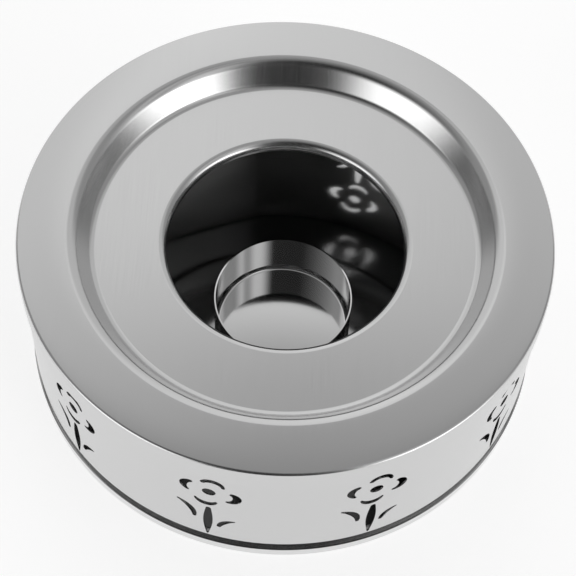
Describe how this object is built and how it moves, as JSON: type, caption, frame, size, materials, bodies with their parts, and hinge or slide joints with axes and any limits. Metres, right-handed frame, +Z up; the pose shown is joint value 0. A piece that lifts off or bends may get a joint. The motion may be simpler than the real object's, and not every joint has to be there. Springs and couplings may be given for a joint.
{
  "type": "teapot warmer",
  "caption": "Round steel teapot warmer: a pressed top with a recessed seat and heat opening over a drum punched with flowers, on a tray with a candle cup.",
  "frame": {"origin": "middle of the foot ring that the warmer stands on", "axes": "+Z up through the heat opening, -Y towards the front; the lap seam is at the back"},
  "size_m": [0.15, 0.15, 0.055],
  "materials": {
    "satin_steel": "satin",
    "bright_steel": "bright rolled"
  },
  "bodies": {
    "root": {"top_plate": "satin_steel", "side_band": "satin_steel", "base_tray": "bright_steel", "candle_cup": "bright_steel"}
  },
  "joints": []
}
